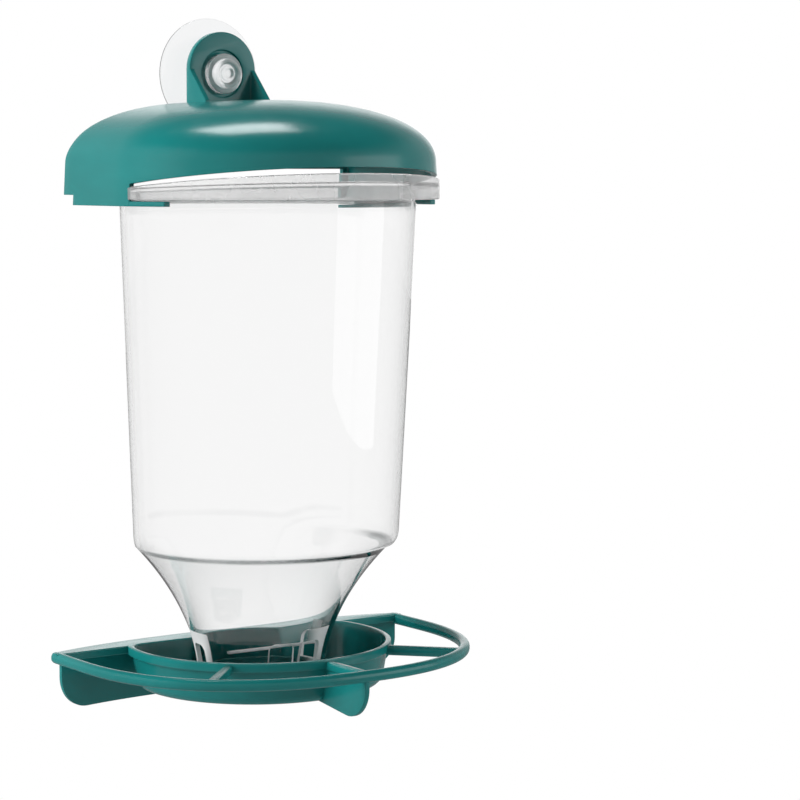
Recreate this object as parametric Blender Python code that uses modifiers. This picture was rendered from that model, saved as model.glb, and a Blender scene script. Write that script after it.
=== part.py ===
"""Window bird feeder: a clear seed hopper under a domed lid, with a tray below it.

Units are metres and +Z is up. The origin is the centre of the suction cup's rim, on the window pane.
The pane is the plane y = 0, the feeder hangs in front of it towards -Y, and depths are distances from it.
"""
import math

import bpy
import bmesh
from mathutils import Matrix, Vector

# Running gap between pieces that touch or slide, and how far a cutter passes the face that it cuts.
CLEARANCE = 0.0003
OVERRUN = 0.002

# Suction cup: one turned soft moulding.
CUP_RADIUS = 0.020
CUP_RIM_THICKNESS = 0.0006
CUP_DISH_RISE = 0.0016
CUP_HOLLOW_DEPTH = 0.0010
CUP_HUB_RADIUS = 0.0082
CUP_SHOULDER_RADIUS = 0.0056
CUP_NECK_RADIUS = 0.0036
KNOB_RADIUS = 0.0071
KNOB_THICKNESS = 0.0026
KNOB_STEP_RADIUS = 0.0052
KNOB_STEP_HEIGHT = 0.0021
KNOB_ROUND = 0.0008
DIMPLE_RADIUS = 0.0017
DIMPLE_DEPTH = 0.0007

# Lid: a D-shaped dome with a flat back, and the bracket that the cup holds.
LID_CENTRE_DEPTH = 0.040
LID_BACK_DEPTH = 0.0025
LID_DROP = 0.0100
DOME_RISE = 0.0222
DOME_POWER = 2.2
LID_HEIGHT = 0.0363
LID_WALL = 0.0020
LID_BACK_ROUND = 0.0030
LID_FLARE = 0.0008
SKIRT_END_DEPTH = 0.0465
FRONT_LIP_DROP = 0.0298
FRONT_LIP_SLOPE = 0.11
RAIL_THICKNESS = 0.0017
RAIL_END_DEPTH = 0.0647
NOTCH_LENGTH = 0.0074
NOTCH_HEIGHT = 0.0035
BRACKET_WIDTH = 0.0270
BRACKET_THICKNESS = 0.0026
BRACKET_DEPTH = 0.0105
BRACKET_RISE = 0.0013
BRACKET_FOOT = 0.0012
RECESS_MARGIN = 0.0013
RECESS_DEPTH = 0.0009
GUSSET_THICKNESS = 0.0018
GUSSET_REACH = 0.0109

# Hopper: a collar that hangs on the lid's rails, a tapered body, a funnel and a neck with four ports.
HOPPER_WALL = 0.0016
COLLAR_PROUD = 0.0005
COLLAR_REACH = 0.0083
COLLAR_BACK_MARGIN = 0.0035
COLLAR_CORNER = 0.016
COLLAR_SLOPE = 0.092
COLLAR_GAP = 0.0009
SHELF_DROP = 0.0008
SHELF_SLOPE = 0.045
SHELF_THICKNESS = 0.0013
BODY_HEIGHT = 0.1160
BODY_TOP_RADIUS = 0.0517
BODY_TOP_CENTRE = 0.0415
BODY_TOP_BACK = 0.0095
BODY_TOP_CORNER = 0.025
BODY_FOOT_RADIUS = 0.0470
BODY_FOOT_CENTRE = 0.0385
BODY_FOOT_BACK = 0.0102
BODY_FOOT_CORNER = 0.023
SHOULDER_HEIGHT = 0.0055
FUNNEL_RADIUS = 0.0455
FUNNEL_HEIGHT = 0.0477
NECK_RADIUS = 0.0226
NECK_CENTRE = 0.0350
PORT_SILL = 0.0038
PORT_CORNER = 0.0025
FRONT_PORT_WIDTH = 0.0088
FRONT_PORT_HEIGHT = 0.0142
FRONT_PORT_ANGLE = math.radians(14)
SIDE_PORT_WIDTH = 0.0078
SIDE_PORT_HEIGHT = 0.0097
SIDE_PORT_ANGLE = math.radians(97)
NECK_BAR_DEPTH = 0.0460
NECK_BAR_THICKNESS = 0.0011
NECK_BAR_HEIGHT = 0.0014

# Tray: one moulding with the seed bowl, the perch ring on its spokes, the back bar, the fin and the keel.
TRAY_HALF_WIDTH = 0.0724
RING_FRONT_DEPTH = 0.1045
RING_BEND_DEPTH = 0.0315
RING_CORNER_DEPTH = 0.0145
RING_POWER = 2.35
RING_WIDTH = 0.0036
RING_HEIGHT = 0.0042
RING_ROUND = 0.0014
BOWL_RADIUS = 0.0473
BOWL_CENTRE = 0.0331
BOWL_DEPTH = 0.0150
BOWL_DRAFT = 0.0025
BOWL_FILLET = 0.0030
BOWL_WALL = 0.0020
BOWL_CORNER = 0.0060
BOWL_LIP_HEIGHT = 0.0030
BOWL_LIP_PROUD = 0.0008
BAR_FRONT_DEPTH = 0.0180
BAR_BACK_DEPTH = 0.0064
BAR_THICKNESS = 0.0028
FIN_INSET = 0.0015
FIN_THICKNESS = 0.0018
FIN_HEIGHT = 0.0203
FIN_END_INSET = 0.0024
FIN_CORNER = 0.0115
SPOKE_ANGLE = math.radians(43.8)
SPOKE_WIDTH = 0.0033
SPOKE_HEIGHT = 0.0035
SPOKE_ROUND = 0.0007
KEEL_THICKNESS = 0.0018
KEEL_START_DEPTH = 0.0640
KEEL_HEIGHT = 0.0172
KEEL_CORNER = 0.0110
KEEL_CORNER_TURN = math.radians(97)
KEEL_MARGIN = 0.0012
SOCKET_WALL = 0.0015
SOCKET_HEIGHT = 0.0030

# The lid reaches past the body by the collar's reach.
LID_RADIUS = BODY_TOP_RADIUS + COLLAR_REACH

# Heights that follow from the sizes above, from the cup's centre down.
ROOF_Z = -LID_DROP
RIM_Z = ROOF_Z - LID_HEIGHT
RAIL_Z = RIM_Z + RAIL_THICKNESS
COLLAR_Z = RAIL_Z + CLEARANCE
BODY_FOOT_Z = COLLAR_Z - BODY_HEIGHT
CREASE_Z = BODY_FOOT_Z - SHOULDER_HEIGHT
NECK_Z = CREASE_Z - FUNNEL_HEIGHT
FLOOR_Z = NECK_Z - CLEARANCE
BOWL_BOTTOM_Z = FLOOR_Z - BOWL_WALL
TRAY_Z = BOWL_BOTTOM_Z + BOWL_DEPTH
FIN_Z = TRAY_Z - FIN_HEIGHT
FIN_HALF_WIDTH = TRAY_HALF_WIDTH - FIN_END_INSET

# Facets of the round forms, and the least distance between two points of a mesh.
ARC_STEPS = 10
HALF_POINTS = 30
TURN_STEPS = 48
SHARP_ANGLE = math.radians(30)
WELD = CLEARANCE / 100

for old in list(bpy.data.objects):
    bpy.data.objects.remove(old)


def new_collection(name):
    """A collection in the scene for a group of objects."""
    collection = bpy.data.collections.new(name)
    bpy.context.scene.collection.children.link(collection)
    return collection


PARTS = new_collection("window_bird_feeder")
CUTTERS = new_collection("cutters")


def plastic(name, colour, roughness, alpha=1.0):
    """A moulded plastic; a lower alpha makes it clear."""
    material = bpy.data.materials.new(name)
    material.use_nodes = True
    shader = material.node_tree.nodes["Principled BSDF"]
    shader.inputs["Base Color"].default_value = (*colour, 1.0)
    shader.inputs["Roughness"].default_value = roughness
    shader.inputs["Metallic"].default_value = 0.0
    shader.inputs["Alpha"].default_value = alpha
    return material


def add_object(name, bm, collection):
    """Turn a bmesh into an object, with its faces pointing out."""
    bmesh.ops.recalc_face_normals(bm, faces=bm.faces)
    mesh = bpy.data.meshes.new(name)
    bm.to_mesh(mesh)
    bm.free()
    obj = bpy.data.objects.new(name, mesh)
    collection.objects.link(obj)
    return obj


def hide_cutter(obj):
    """A cutter isn't part of the feeder."""
    obj.hide_render = True
    obj.display_type = "WIRE"
    return obj


def combine(target, tool, operation):
    """Cut, join or intersect a piece with a tool body."""
    modifier = target.modifiers.new(tool.name, "BOOLEAN")
    modifier.operation = operation
    modifier.solver = "EXACT"
    modifier.object = tool
    return target


def finish(obj, material):
    """Give a piece its material and smooth its round faces."""
    obj.data.materials.append(material)
    obj.data.shade_smooth()
    obj.data.set_sharp_from_angle(angle=SHARP_ANGLE)


def arc(centre, radius, start, end, steps=ARC_STEPS):
    """Points along an arc, both ends included."""
    points = []
    for i in range(steps + 1):
        angle = start + (end - start) * i / steps
        points.append((centre[0] + radius * math.cos(angle), centre[1] + radius * math.sin(angle)))
    return points


def resample(points, count):
    """The same path with a given number of evenly spaced points."""
    lengths = [0.0]
    for a, b in zip(points, points[1:]):
        lengths.append(lengths[-1] + math.dist(a, b))
    result = []
    segment = 0
    for i in range(count):
        wanted = lengths[-1] * i / (count - 1)
        while segment < len(points) - 2 and lengths[segment + 1] < wanted:
            segment += 1
        span = lengths[segment + 1] - lengths[segment]
        share = (wanted - lengths[segment]) / span if span else 0.0
        a, b = points[segment], points[segment + 1]
        result.append((a[0] + (b[0] - a[0]) * share, a[1] + (b[1] - a[1]) * share))
    return result


def d_section(radius, centre, rear_centre, back, corner):
    """A D-shaped outline as (x, depth) points: a round front, a flat back and rounded back corners.

    The front arc is about centre, the sides run straight to rear_centre, and an arc about that leads
    into the corner arcs, which meet the flat back. With room for no flat back it becomes a circle.
    """
    back = max(back, rear_centre - radius)
    corner = min(corner, radius)
    corner_depth = back + corner
    corner_x = math.sqrt(max(0.0, (radius - corner) ** 2 - (corner_depth - rear_centre) ** 2))
    turn = math.atan2(corner_depth - rear_centre, corner_x)
    right = math.pi / 2
    half = arc((0.0, centre), radius, right, 0.0, 2 * ARC_STEPS)
    half += arc((0.0, rear_centre), radius, 0.0, turn)
    half += arc((corner_x, corner_depth), corner, turn, -right)
    half.append((0.0, back))
    half = resample(half, HALF_POINTS)
    return half + [(-x, depth) for x, depth in half[-2:0:-1]]


def loft(name, sections, collection):
    """A closed solid through outlines of (x, depth) points, each at its own height."""
    bm = bmesh.new()
    rings = []
    for z, outline in sections:
        rings.append([bm.verts.new((x, -depth, z)) for x, depth in outline])
    for upper, lower in zip(rings, rings[1:]):
        count = len(upper)
        for i in range(count):
            j = (i + 1) % count
            bm.faces.new((upper[i], upper[j], lower[j], lower[i]))
    bm.faces.new(rings[0])
    bm.faces.new(rings[-1])
    return add_object(name, bm, collection)


def to_mesh_object(obj, collection):
    """Replace a curve object by a mesh with welded caps."""
    evaluated = obj.evaluated_get(bpy.context.evaluated_depsgraph_get())
    mesh = bpy.data.meshes.new_from_object(evaluated)
    matrix = obj.matrix_world.copy()
    name = obj.name
    bpy.data.objects.remove(obj)
    bm = bmesh.new()
    bm.from_mesh(mesh)
    bpy.data.meshes.remove(mesh)
    bmesh.ops.remove_doubles(bm, verts=bm.verts, dist=WELD)
    result = add_object(name, bm, collection)
    result.matrix_world = matrix
    return result


# Planes that a flat outline can be drawn in: plan (x, depth), front (x, z) and side (depth, z).
PLAN = Matrix(((1, 0, 0, 0), (0, -1, 0, 0), (0, 0, 1, 0), (0, 0, 0, 1)))
FRONT = Matrix(((1, 0, 0, 0), (0, 0, -1, 0), (0, 1, 0, 0), (0, 0, 0, 1)))
SIDE = Matrix(((0, 0, 1, 0), (-1, 0, 0, 0), (0, 1, 0, 0), (0, 0, 0, 1)))


def flat_body(name, outlines, plane, low, high, collection=None, edge=0.0):
    """An outline, with any holes, extruded from low to high across its plane, with rounded edges."""
    curve = bpy.data.curves.new(name, "CURVE")
    curve.dimensions = "2D"
    curve.fill_mode = "BOTH"
    curve.extrude = (high - low) / 2 - edge
    curve.bevel_depth = edge
    curve.bevel_resolution = 1
    curve.offset = -edge
    for outline in outlines:
        spline = curve.splines.new("POLY")
        spline.points.add(len(outline) - 1)
        for point, (a, b) in zip(spline.points, outline):
            point.co = (a, b, 0.0, 1.0)
        spline.use_cyclic_u = True
    obj = bpy.data.objects.new(name, curve)
    (collection or CUTTERS).objects.link(obj)
    obj.matrix_world = plane @ Matrix.Translation((0.0, 0.0, (low + high) / 2))
    bpy.context.view_layer.update()
    mesh_object = to_mesh_object(obj, collection or CUTTERS)
    mesh_object.data.transform(mesh_object.matrix_world)
    mesh_object.matrix_world = Matrix.Identity(4)
    if plane.determinant() < 0:
        mesh_object.data.flip_normals()
    return mesh_object if collection else hide_cutter(mesh_object)


def plan_body(name, outline, low, high, edge=0.0, holes=()):
    """A plan outline between two heights."""
    return flat_body(name, [outline, *holes], PLAN, low, high, edge=edge)


def front_body(name, outline, near, far, edge=0.0):
    """A front outline between two depths."""
    return flat_body(name, [outline], FRONT, near, far, edge=edge)


def side_body(name, outline, left, right, edge=0.0):
    """A side outline between two widths."""
    return flat_body(name, [outline], SIDE, left, right, edge=edge)


def cylinder(name, radius, low, high, centre_depth):
    """An upright round body about the neck's or another centre."""
    bm = bmesh.new()
    bmesh.ops.create_cone(bm, cap_ends=True, segments=TURN_STEPS, radius1=radius, radius2=radius,
                          depth=high - low)
    bmesh.ops.translate(bm, verts=bm.verts, vec=(0.0, -centre_depth, (low + high) / 2))
    return hide_cutter(add_object(name, bm, CUTTERS))


def turned_about_y(name, radius, near, far):
    """A round body along the cup's axis, between two depths."""
    bm = bmesh.new()
    bmesh.ops.create_cone(bm, cap_ends=True, segments=TURN_STEPS, radius1=radius, radius2=radius,
                          depth=far - near)
    bmesh.ops.rotate(bm, verts=bm.verts, matrix=Matrix.Rotation(math.pi / 2, 3, "X"))
    bmesh.ops.translate(bm, verts=bm.verts, vec=(0.0, -(near + far) / 2, 0.0))
    return hide_cutter(add_object(name, bm, CUTTERS))


def recess_floor_depth():
    """Depth of the recess round the bracket's hole, which the knob seats in."""
    return BRACKET_DEPTH - RECESS_DEPTH


def make_suction_cup():
    """Turned profile: knob, neck through the bracket, hub and thin dished rim."""
    knob_back = recess_floor_depth() + CLEARANCE
    knob_front = knob_back + KNOB_THICKNESS
    face = knob_front + KNOB_STEP_HEIGHT
    plate_back = BRACKET_DEPTH - BRACKET_THICKNESS
    shoulder = plate_back - CLEARANCE
    dish = CUP_HOLLOW_DEPTH + CUP_DISH_RISE
    profile = [
        (0.0, face - DIMPLE_DEPTH),
        (DIMPLE_RADIUS, face - DIMPLE_DEPTH),
        (DIMPLE_RADIUS + DIMPLE_DEPTH, face),
        (KNOB_STEP_RADIUS - KNOB_ROUND, face),
        (KNOB_STEP_RADIUS, face - KNOB_ROUND),
        (KNOB_STEP_RADIUS, knob_front),
        (KNOB_RADIUS - KNOB_ROUND, knob_front),
        (KNOB_RADIUS, knob_front - KNOB_ROUND),
        (KNOB_RADIUS, knob_back + KNOB_ROUND),
        (KNOB_RADIUS - KNOB_ROUND, knob_back),
        (CUP_NECK_RADIUS, knob_back),
        (CUP_NECK_RADIUS, shoulder),
        (CUP_SHOULDER_RADIUS, shoulder),
        (CUP_SHOULDER_RADIUS, (shoulder + dish) / 2),
        (CUP_HUB_RADIUS, dish),
        ((CUP_HUB_RADIUS + CUP_RADIUS) / 2, (dish + CUP_RIM_THICKNESS) / 2),
        (CUP_RADIUS, CUP_RIM_THICKNESS),
        (CUP_RADIUS, 0.0),
        (CUP_RADIUS - CUP_RIM_THICKNESS, 0.0),
        ((CUP_HUB_RADIUS + CUP_RADIUS) / 2, CUP_HOLLOW_DEPTH / 2),
        (CUP_HUB_RADIUS, CUP_HOLLOW_DEPTH),
        (0.0, CUP_HOLLOW_DEPTH),
    ]
    mesh = bpy.data.meshes.new("suction_cup")
    edges = [(i, i + 1) for i in range(len(profile) - 1)]
    mesh.from_pydata([(radius, 0.0, depth) for radius, depth in profile], edges, [])
    cup = bpy.data.objects.new("suction_cup", mesh)
    PARTS.objects.link(cup)
    cup.rotation_euler = (math.pi / 2, 0.0, 0.0)
    screw = cup.modifiers.new("turn", "SCREW")
    screw.axis = "Z"
    screw.steps = TURN_STEPS
    screw.render_steps = TURN_STEPS
    screw.use_merge_vertices = True
    screw.merge_threshold = WELD
    return cup


def dome_profile(radius, top, base):
    """Half section of the dome: an oval crown over a flared skirt, from the centre out and down."""
    rise = DOME_RISE
    points = []
    for i in range(ARC_STEPS + 1):
        angle = math.pi / 2 * i / ARC_STEPS
        share = math.sin(angle) ** (2 / DOME_POWER)
        height = math.cos(angle) ** (2 / DOME_POWER)
        points.append(((radius - LID_FLARE) * share, top - rise + rise * height))
    points.append((radius, base))
    return points


def vault(name, radius, top, base, back, rounding, collection):
    """A closed D-shaped dome: the half section spun round the front and drawn straight to the back."""
    bm = bmesh.new()
    centre = (0.0, -LID_CENTRE_DEPTH, 0.0)
    verts = [bm.verts.new((x, -LID_CENTRE_DEPTH, z)) for x, z in dome_profile(radius, top, base)]
    edges = [bm.edges.new(pair) for pair in zip(verts, verts[1:])]
    bmesh.ops.spin(bm, geom=verts + edges, cent=centre, axis=(0.0, 0.0, 1.0), angle=-math.pi,
                   steps=4 * ARC_STEPS, use_duplicate=False)
    bmesh.ops.remove_doubles(bm, verts=bm.verts, dist=WELD)
    tolerance = CLEARANCE / 10
    ends = [e for e in bm.edges if e.is_boundary
            and all(abs(v.co.y - centre[1]) < tolerance for v in e.verts)]
    drawn = bmesh.ops.extrude_edge_only(bm, edges=ends)["geom"]
    moved = [item for item in drawn if isinstance(item, bmesh.types.BMVert)]
    bmesh.ops.translate(bm, verts=moved, vec=(0.0, LID_CENTRE_DEPTH - back, 0.0))
    corners = [v for v in moved if abs(v.co.z - base) < tolerance]
    bm.edges.new(corners)
    back_edges = [e for e in bm.edges if all(abs(v.co.y + back) < tolerance for v in e.verts)]
    bmesh.ops.edgeloop_fill(bm, edges=back_edges)
    base_edges = [e for e in bm.edges if e.is_boundary or len(e.link_faces) < 2]
    bmesh.ops.edgeloop_fill(bm, edges=base_edges)
    if rounding:
        shoulder = top - DOME_RISE - tolerance
        arch = [e for e in back_edges if e.is_valid and all(v.co.z > shoulder for v in e.verts)]
        bmesh.ops.bevel(bm, geom=arch, offset=rounding, segments=3, profile=0.5, affect="EDGES")
    return add_object(name, bm, collection)


def front_lip_z(depth):
    """Height of the lid's sloping front lip."""
    return ROOF_Z - FRONT_LIP_DROP + FRONT_LIP_SLOPE * (depth - LID_CENTRE_DEPTH)


def make_lid():
    """The dome shell with its rails, and the bracket on its back edge."""
    lid = vault("lid", LID_RADIUS, ROOF_Z, RIM_Z, LID_BACK_DEPTH, LID_BACK_ROUND, PARTS)
    inner_back = LID_BACK_DEPTH + LID_WALL
    cavity = vault("lid_cavity", LID_RADIUS - LID_WALL, ROOF_Z - LID_WALL, RAIL_Z, inner_back, 0.0, CUTTERS)
    combine(lid, hide_cutter(cavity), "DIFFERENCE")

    slot_x = BODY_TOP_RADIUS + 2 * CLEARANCE
    below = RIM_Z - OVERRUN
    beyond = LID_CENTRE_DEPTH + LID_RADIUS + OVERRUN
    slot = [(-slot_x, inner_back), (slot_x, inner_back), (slot_x, beyond), (-slot_x, beyond)]
    combine(lid, plan_body("rail_slot", slot, below, RAIL_Z + OVERRUN), "DIFFERENCE")

    mouth = [
        (SKIRT_END_DEPTH, RAIL_Z),
        (RAIL_END_DEPTH, RAIL_Z),
        (RAIL_END_DEPTH, below),
        (beyond, below),
        (beyond, front_lip_z(beyond)),
        (SKIRT_END_DEPTH, front_lip_z(SKIRT_END_DEPTH)),
    ]
    side = LID_RADIUS + OVERRUN
    combine(lid, side_body("front_mouth", mouth, -side, side), "DIFFERENCE")

    notch_top = RIM_Z + NOTCH_HEIGHT
    notch = [
        (LID_BACK_DEPTH - OVERRUN, below),
        (LID_BACK_DEPTH + NOTCH_LENGTH, below),
        (LID_BACK_DEPTH + NOTCH_LENGTH, notch_top),
        (LID_BACK_DEPTH - OVERRUN, notch_top),
    ]
    combine(lid, side_body("back_notch", notch, -side, side), "DIFFERENCE")
    add_bracket(lid)
    return lid


def add_bracket(lid):
    """A round-topped plate with a stepped hole for the cup's neck, and a gusset at each side."""
    half = BRACKET_WIDTH / 2
    foot = ROOF_Z - BRACKET_FOOT
    centre = (0.0, BRACKET_RISE)
    plate = [(-half, foot), (half, foot)] + arc(centre, half, 0.0, math.pi, 2 * ARC_STEPS)
    back = BRACKET_DEPTH - BRACKET_THICKNESS
    combine(lid, front_body("bracket_plate", plate, back, BRACKET_DEPTH), "UNION")
    inside = BRACKET_DEPTH - BRACKET_THICKNESS / 2
    toe = BRACKET_DEPTH + GUSSET_REACH
    gusset = [(inside, foot), (toe, foot), (toe, ROOF_Z), (BRACKET_DEPTH, BRACKET_RISE), (inside, BRACKET_RISE)]
    for side, name in ((-1, "left_gusset"), (1, "right_gusset")):
        outer = side * (half - CLEARANCE)
        inner = side * (half - GUSSET_THICKNESS)
        body = side_body(name, gusset, min(outer, inner), max(outer, inner))
        combine(lid, body, "UNION")
    hole = turned_about_y("cup_hole", CUP_NECK_RADIUS + CLEARANCE, back - OVERRUN, BRACKET_DEPTH + OVERRUN)
    combine(lid, hole, "DIFFERENCE")
    recess = turned_about_y("knob_recess", KNOB_RADIUS + RECESS_MARGIN, recess_floor_depth(),
                            BRACKET_DEPTH + GUSSET_REACH)
    combine(lid, recess, "DIFFERENCE")


def mix(a, b, share):
    """A value between two others."""
    return a + (b - a) * share


def hopper_sections(inset, top, bottom):
    """Outlines of the body, shoulder, funnel and neck, inset by a wall thickness."""
    sections = []

    def add(z, radius, centre, rear_centre, back, corner):
        outline = d_section(radius - inset, centre, rear_centre, back + inset, corner - inset)
        sections.append((z, outline))

    foot_rear = BODY_FOOT_BACK + BODY_FOOT_CORNER
    add(top, BODY_TOP_RADIUS, BODY_TOP_CENTRE, BODY_TOP_BACK + BODY_TOP_CORNER, BODY_TOP_BACK, BODY_TOP_CORNER)
    shoulder_steps = 4
    for i in range(shoulder_steps):
        angle = math.pi / 2 * i / shoulder_steps
        share = 1 - math.cos(angle)
        z = BODY_FOOT_Z - SHOULDER_HEIGHT * math.sin(angle)
        add(z, mix(BODY_FOOT_RADIUS, FUNNEL_RADIUS, share), mix(BODY_FOOT_CENTRE, NECK_CENTRE, share),
            mix(foot_rear, NECK_CENTRE, share), BODY_FOOT_BACK, BODY_FOOT_CORNER)
    funnel_steps = 10
    for i in range(funnel_steps + 1):
        share = i / funnel_steps
        z = mix(CREASE_Z, NECK_Z, share)
        radius = mix(NECK_RADIUS, FUNNEL_RADIUS, (1 - share) ** 2)
        add(z, radius, NECK_CENTRE, NECK_CENTRE, BODY_FOOT_BACK, BODY_FOOT_CORNER)
    if bottom < NECK_Z:
        add(bottom, NECK_RADIUS, NECK_CENTRE, NECK_CENTRE, BODY_FOOT_BACK, BODY_FOOT_CORNER)
    return sections


def shelf_top_z(depth):
    """Height of the collar's inner shelf, which rises a little to the front."""
    return ROOF_Z - FRONT_LIP_DROP - SHELF_DROP + SHELF_SLOPE * (depth - LID_CENTRE_DEPTH)


def collar_top_z(depth):
    """Height of the collar's top edge: it rises to the front, and is level with the shelf at the back."""
    edge = ROOF_Z - FRONT_LIP_DROP - COLLAR_GAP + COLLAR_SLOPE * (depth - LID_CENTRE_DEPTH)
    return max(edge, shelf_top_z(depth) + CLEARANCE)


def port_cutter(name, angle, width, height):
    """A round-cornered window through the neck's wall, at an angle from the front."""
    half = width / 2
    sill = NECK_Z + PORT_SILL
    top = sill + height
    right = math.pi / 2
    outline = [(-half, sill), (half, sill)]
    outline += arc((half - PORT_CORNER, top - PORT_CORNER), PORT_CORNER, 0.0, right, 4)
    outline += arc((PORT_CORNER - half, top - PORT_CORNER), PORT_CORNER, right, 2 * right, 4)
    inner = NECK_RADIUS - HOPPER_WALL - OVERRUN
    outer = funnel_radius_at(top) + OVERRUN
    body = front_body(name, outline, inner, outer)
    turn = Matrix.Translation((0.0, -NECK_CENTRE, 0.0)) @ Matrix.Rotation(angle, 4, "Z")
    body.data.transform(turn)
    return body


def collar_outline(inset):
    """The collar in plan: full width in front of the lid's skirts, and narrower between them."""
    radius = LID_RADIUS + COLLAR_PROUD - inset
    back = BODY_TOP_BACK - COLLAR_BACK_MARGIN + inset
    corner = COLLAR_CORNER - inset
    side = LID_RADIUS - LID_WALL - LID_FLARE / 2 - 2 * CLEARANCE - inset
    step = SKIRT_END_DEPTH + CLEARANCE + inset
    turn = math.asin((step - LID_CENTRE_DEPTH) / radius)
    right = math.pi / 2
    points = arc((0.0, LID_CENTRE_DEPTH), radius, right, turn, 2 * ARC_STEPS)
    points += [(side, step)] + arc((side - corner, back + corner), corner, 0.0, -right, 6)
    points.append((0.0, back))
    return points + [(-x, depth) for x, depth in points[-2:0:-1]]


def sloped_loft(name, outline, low, high):
    """A body on an outline of (x, depth) points, with its low and high face set by the depth."""
    bm = bmesh.new()
    rings = []
    for level in (low, high):
        rings.append([bm.verts.new((x, -depth, level(depth))) for x, depth in outline])
    for i in range(len(outline)):
        j = (i + 1) % len(outline)
        bm.faces.new((rings[0][i], rings[0][j], rings[1][j], rings[1][i]))
    for ring in rings:
        bm.faces.new(ring)
    return hide_cutter(add_object(name, bm, CUTTERS))


def make_hopper():
    """The clear hopper, open at the collar, at the foot of the neck and at four ports."""
    collar_radius = LID_RADIUS + COLLAR_PROUD
    front = LID_CENTRE_DEPTH + collar_radius
    high = collar_top_z(front) + OVERRUN
    flat = [(high, collar_outline(0.0)), (COLLAR_Z, collar_outline(0.0))]
    hopper = loft("hopper", flat, PARTS)
    pocket = collar_outline(HOPPER_WALL)
    under = sloped_loft("collar_under", pocket, lambda depth: COLLAR_Z - OVERRUN,
                        lambda depth: shelf_top_z(depth) - SHELF_THICKNESS)
    combine(hopper, under, "DIFFERENCE")
    body = loft("hopper_body", hopper_sections(0.0, high + OVERRUN, NECK_Z), CUTTERS)
    combine(hopper, hide_cutter(body), "UNION")
    dish = sloped_loft("collar_dish", pocket, shelf_top_z, lambda depth: high + 2 * OVERRUN)
    combine(hopper, dish, "DIFFERENCE")
    hollow = loft("hopper_hollow", hopper_sections(HOPPER_WALL, high + OVERRUN, NECK_Z - OVERRUN), CUTTERS)
    combine(hopper, hide_cutter(hollow), "DIFFERENCE")

    beyond = front + OVERRUN
    behind = BODY_TOP_BACK - COLLAR_BACK_MARGIN - OVERRUN
    bend = LID_CENTRE_DEPTH + (COLLAR_GAP - SHELF_DROP + CLEARANCE) / (COLLAR_SLOPE - SHELF_SLOPE)
    wedge = [(depth, collar_top_z(depth)) for depth in (behind, bend, beyond)]
    wedge += [(beyond, high + 2 * OVERRUN), (behind, high + 2 * OVERRUN)]
    side = collar_radius + OVERRUN
    combine(hopper, side_body("collar_slope", wedge, -side, side), "DIFFERENCE")

    for name, angle, width, height in (
            ("front_port_left", -FRONT_PORT_ANGLE, FRONT_PORT_WIDTH, FRONT_PORT_HEIGHT),
            ("front_port_right", FRONT_PORT_ANGLE, FRONT_PORT_WIDTH, FRONT_PORT_HEIGHT),
            ("side_port_left", -SIDE_PORT_ANGLE, SIDE_PORT_WIDTH, SIDE_PORT_HEIGHT),
            ("side_port_right", SIDE_PORT_ANGLE, SIDE_PORT_WIDTH, SIDE_PORT_HEIGHT)):
        combine(hopper, port_cutter(name, angle, width, height), "DIFFERENCE")
    combine(hopper, neck_bar(), "UNION")
    return hopper


def neck_bar():
    """A thin straight bar across the inside of the neck, at the level of the tray's rim."""
    radius = funnel_radius_at(TRAY_Z) - HOPPER_WALL / 2
    half = math.sqrt(radius ** 2 - (NECK_BAR_DEPTH - NECK_CENTRE) ** 2)
    outline = [(-half, TRAY_Z - NECK_BAR_HEIGHT), (half, TRAY_Z - NECK_BAR_HEIGHT), (half, TRAY_Z), (-half, TRAY_Z)]
    return front_body("neck_bar", outline, NECK_BAR_DEPTH - NECK_BAR_THICKNESS / 2,
                      NECK_BAR_DEPTH + NECK_BAR_THICKNESS / 2)


def bar_back(x, inset=0.0):
    """Depth of the back bar's bowed back edge."""
    share = min(1.0, abs(x) / TRAY_HALF_WIDTH) ** 3
    return mix(BAR_BACK_DEPTH, RING_CORNER_DEPTH, share) + inset


def ring_outline(inset):
    """One edge of the perch ring, from its right end round the front to its left end."""
    width = TRAY_HALF_WIDTH - inset
    reach = RING_FRONT_DEPTH - RING_BEND_DEPTH - inset
    points = [(width, RING_CORNER_DEPTH)]
    steps = 5 * ARC_STEPS
    for i in range(steps + 1):
        angle = math.pi * i / steps
        x = width * math.copysign(abs(math.cos(angle)) ** (2 / RING_POWER), math.cos(angle))
        points.append((x, RING_BEND_DEPTH + reach * math.sin(angle) ** (2 / RING_POWER)))
    points.append((-width, RING_CORNER_DEPTH))
    return points


def curved_back(half_width, inset):
    """Points along the bar's back edge, from left to right."""
    steps = 2 * ARC_STEPS
    points = []
    for i in range(steps + 1):
        x = half_width * (2 * i / steps - 1)
        points.append((x, bar_back(x, inset)))
    return points


def bowl_section(inset, z):
    """Outline of the bowl at a height, with drafted walls and a rounded foot."""
    down = TRAY_Z - z
    narrowing = BOWL_DRAFT * down / BOWL_DEPTH
    foot = down - (BOWL_DEPTH - BOWL_FILLET)
    if foot > 0:
        narrowing += BOWL_FILLET - math.sqrt(max(0.0, BOWL_FILLET ** 2 - foot ** 2))
    total = inset + narrowing
    back = BAR_FRONT_DEPTH - BOWL_WALL + total
    return d_section(BOWL_RADIUS - total, BOWL_CENTRE, BOWL_CENTRE, back, BOWL_CORNER)


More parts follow.
